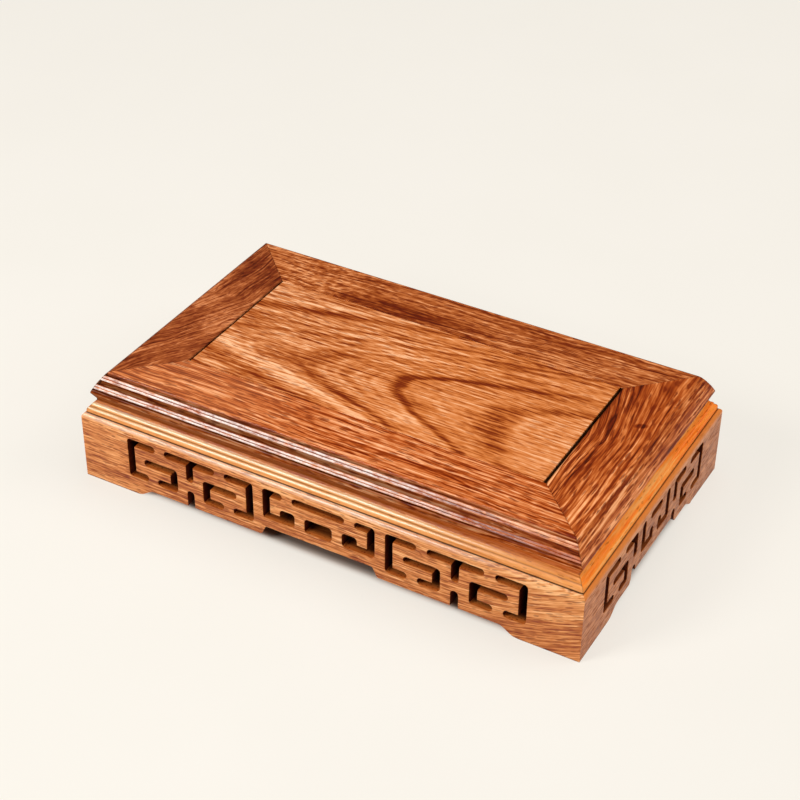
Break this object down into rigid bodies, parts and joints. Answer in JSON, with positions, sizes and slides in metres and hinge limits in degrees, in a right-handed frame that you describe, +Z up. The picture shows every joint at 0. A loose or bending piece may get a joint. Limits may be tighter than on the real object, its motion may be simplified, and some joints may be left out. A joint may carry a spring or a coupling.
{
  "type": "display stand",
  "caption": "Low rectangular hardwood display stand: mitred frame with a flush panel, reeded edge and sloping ledge over fretted aprons with corner feet.",
  "frame": {"origin": "on the floor under the middle of the stand", "axes": "+X along the length towards the right end, -Y towards the front, +Z up"},
  "size_m": [0.2, 0.12, 0.044],
  "materials": {
    "long_rail_wood": "gloss varnish over red-brown hardwood with fine straight grain",
    "end_rail_wood": "gloss varnish over dark red-brown hardwood with dark lines",
    "panel_wood": "satin varnish over orange-brown hardwood with arched grain",
    "ledge_wood": "gloss varnish over orange-brown hardwood",
    "apron_wood": "gloss varnish over tan-brown hardwood with straight grain",
    "inner_wood": "bare planed wood",
    "dowel_wood": "bare turned wood"
  },
  "bodies": {
    "root": {"top_rail_front": "long_rail_wood", "top_rail_back": "long_rail_wood", "top_end_left": "end_rail_wood", "top_end_right": "end_rail_wood", "centre_panel": "panel_wood", "panel_batten_left": "inner_wood", "panel_batten_right": "inner_wood", "ledge_front": "ledge_wood", "ledge_back": "ledge_wood", "ledge_left": "ledge_wood", "ledge_right": "ledge_wood", "apron_front": "apron_wood", "apron_back": "apron_wood", "apron_left": "apron_wood", "apron_right": "apron_wood", "corner_block_front_left": "inner_wood", "corner_block_front_right": "inner_wood", "corner_block_back_left": "inner_wood", "corner_block_back_right": "inner_wood", "dowels": "dowel_wood"}
  },
  "joints": []
}
